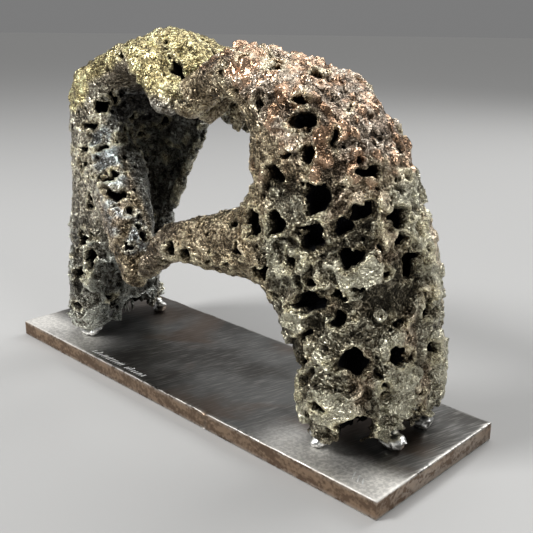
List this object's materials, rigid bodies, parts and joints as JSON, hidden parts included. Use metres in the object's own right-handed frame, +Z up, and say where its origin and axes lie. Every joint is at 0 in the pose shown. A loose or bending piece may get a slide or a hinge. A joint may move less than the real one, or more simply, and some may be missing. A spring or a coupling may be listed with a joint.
{
  "type": "abstract metal sculpture",
  "caption": "Sculpture of two hands of fused steel lace whose fingers and thumbs meet in the outline of a heart, welded upright on a flat steel bar.",
  "frame": {"origin": "middle of the base bar's underside", "axes": "+X along the bar towards the copper coloured hand, -Y towards the side that the picture is taken from, +Z up"},
  "size_m": [0.36, 0.12, 0.2463],
  "materials": {
    "ground_steel": "mill steel bar, top ground with fine straight marks and stained brown by heat, edges worn bright",
    "brass_run_steel": "rough fused steel droplets, run over with golden brass on the fingers, tan and dark grey below",
    "copper_run_steel": "rough fused steel crust, run over with pinkish copper drops on the back of the hand, olive grey below",
    "bright_weld": "shiny silvery weld metal"
  },
  "bodies": {
    "root": {"base_plate": "ground_steel", "left_hand": "brass_run_steel", "right_hand": "copper_run_steel", "left_weld_1": "bright_weld", "left_weld_2": "bright_weld", "left_weld_3": "bright_weld", "right_weld_1": "bright_weld", "right_weld_2": "bright_weld", "right_weld_3": "bright_weld"}
  },
  "joints": []
}
